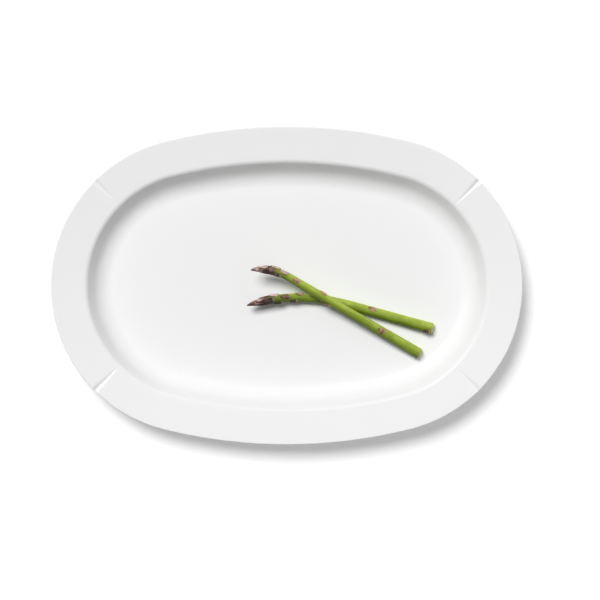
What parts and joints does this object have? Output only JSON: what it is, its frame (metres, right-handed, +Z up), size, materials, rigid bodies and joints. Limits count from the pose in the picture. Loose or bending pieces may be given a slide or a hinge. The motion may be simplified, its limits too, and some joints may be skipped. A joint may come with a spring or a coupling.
{
  "type": "oval serving plate",
  "caption": "Oval white porcelain serving plate with a wide grooved rim, a shallow well and a foot ring, with crossed green asparagus spears that lift off it.",
  "frame": {"origin": "middle of the plate on the plane that the foot ring stands on", "axes": "+X along the plate's length, +Y towards its back, +Z up"},
  "size_m": [0.4, 0.27, 0.0294],
  "materials": {
    "porcelain": "gloss",
    "stalk_green": "satin",
    "bud_brown": "satin",
    "bract_purple": "satin",
    "scale_tan": "satin"
  },
  "bodies": {
    "plate": {"plate": "porcelain"},
    "lower_spear": {"lower_stalk": "stalk_green", "lower_bud": "bud_brown", "lower_bract_01": "bract_purple", "lower_bract_02": "bract_purple", "lower_bract_03": "bract_purple", "lower_bract_04": "bract_purple", "lower_bract_05": "bract_purple", "lower_bract_06": "bract_purple", "lower_bract_07": "bract_purple", "lower_bract_08": "bract_purple", "lower_bract_09": "bract_purple", "lower_bract_10": "bract_purple", "lower_bract_11": "bract_purple", "lower_bract_12": "bract_purple", "lower_bract_13": "bract_purple", "lower_bract_14": "bract_purple", "lower_bract_15": "bract_purple", "lower_bract_16": "bract_purple", "lower_scale_01": "scale_tan", "lower_scale_02": "scale_tan", "lower_scale_03": "scale_tan", "lower_scale_04": "scale_tan"},
    "upper_spear": {"upper_stalk": "stalk_green", "upper_bud": "bud_brown", "upper_bract_01": "bract_purple", "upper_bract_02": "bract_purple", "upper_bract_03": "bract_purple", "upper_bract_04": "bract_purple", "upper_bract_05": "bract_purple", "upper_bract_06": "bract_purple", "upper_bract_07": "bract_purple", "upper_bract_08": "bract_purple", "upper_bract_09": "bract_purple", "upper_bract_10": "bract_purple", "upper_bract_11": "bract_purple", "upper_bract_12": "bract_purple", "upper_bract_13": "bract_purple", "upper_bract_14": "bract_purple", "upper_bract_15": "bract_purple", "upper_bract_16": "bract_purple", "upper_scale_01": "scale_tan", "upper_scale_02": "scale_tan", "upper_scale_03": "scale_tan", "upper_scale_04": "scale_tan"}
  },
  "joints": [
    {"name": "lower_spear_lift", "type": "slide", "parent": "plate", "child": "lower_spear", "axis": [0, 0, 1], "range_m": [0, 0.15]},
    {"name": "upper_spear_lift", "type": "slide", "parent": "lower_spear", "child": "upper_spear", "axis": [0, 0, 1], "range_m": [0, 0.15]}
  ]
}
